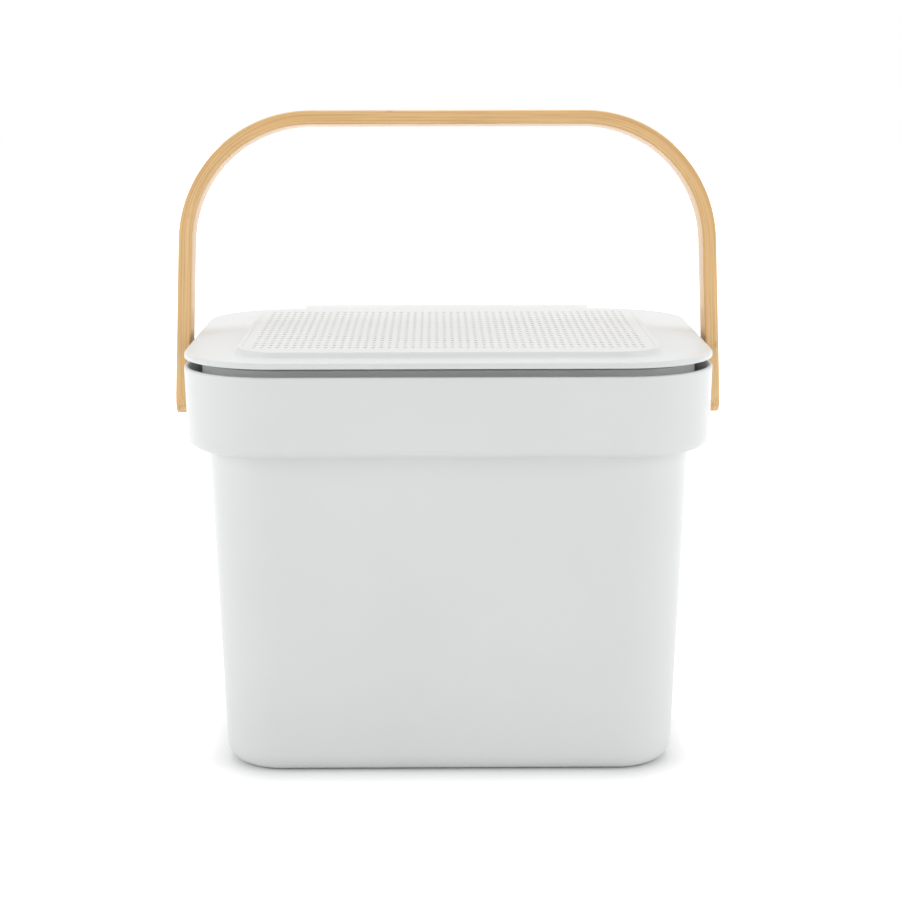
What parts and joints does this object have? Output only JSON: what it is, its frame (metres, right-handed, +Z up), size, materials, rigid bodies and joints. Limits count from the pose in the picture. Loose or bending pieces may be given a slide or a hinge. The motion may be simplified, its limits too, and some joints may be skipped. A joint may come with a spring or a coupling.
{
  "type": "compost caddy",
  "caption": "Tapered kitchen compost caddy with a stepped collar, lift-out inner bucket, hinged vented lid with filter, and a bent wooden strip handle on two side pivots.",
  "frame": {"origin": "centre of the flat base, on the surface that the caddy stands on", "axes": "+Z up, X across from pivot to pivot, +Y towards the lid's hinge at the back"},
  "size_m": [0.2618, 0.202, 0.2991],
  "materials": {
    "white_plastic": "satin moulded",
    "grey_plastic": "satin moulded",
    "nylon": "natural nylon",
    "seal_rubber": "soft matt",
    "charcoal_felt": "needled felt",
    "steel": "plain",
    "bamboo": "clear lacquered laminated strip"
  },
  "bodies": {
    "bin": {"outer_bin": "white_plastic", "inner_bucket": "grey_plastic", "hinge_pin": "steel", "bush_left": "nylon", "bush_right": "nylon"},
    "lid": {"lid": "white_plastic", "vent_panel": "white_plastic", "lid_seal": "seal_rubber", "charcoal_filter": "charcoal_felt", "filter_tray": "white_plastic"},
    "pivots": {"pivot_screw_left": "steel", "pivot_screw_right": "steel", "washer_left": "steel", "washer_right": "steel", "pivot_nut_left": "steel", "pivot_nut_right": "steel"},
    "handle": {"handle": "bamboo"}
  },
  "joints": [
    {"name": "lid_hinge", "type": "hinge", "parent": "bin", "child": "lid", "pos_m": [0, 0.1012, 0.189], "axis": [-1, 0, 0], "range_deg": [0, 61]},
    {"name": "handle_back", "type": "hinge", "parent": "bin", "child": "pivots", "pos_m": [0, 0, 0.1666], "axis": [-1, 0, 0], "range_deg": [0, 122]},
    {"name": "handle_swing", "type": "hinge", "parent": "pivots", "child": "handle", "pos_m": [0, 0, 0.1666], "axis": [-1, 0, 0], "range_deg": [-134, 0]}
  ],
  "couplings": [
    {"joint": "handle_back", "follows": "lid_hinge", "ratio": 2}
  ]
}
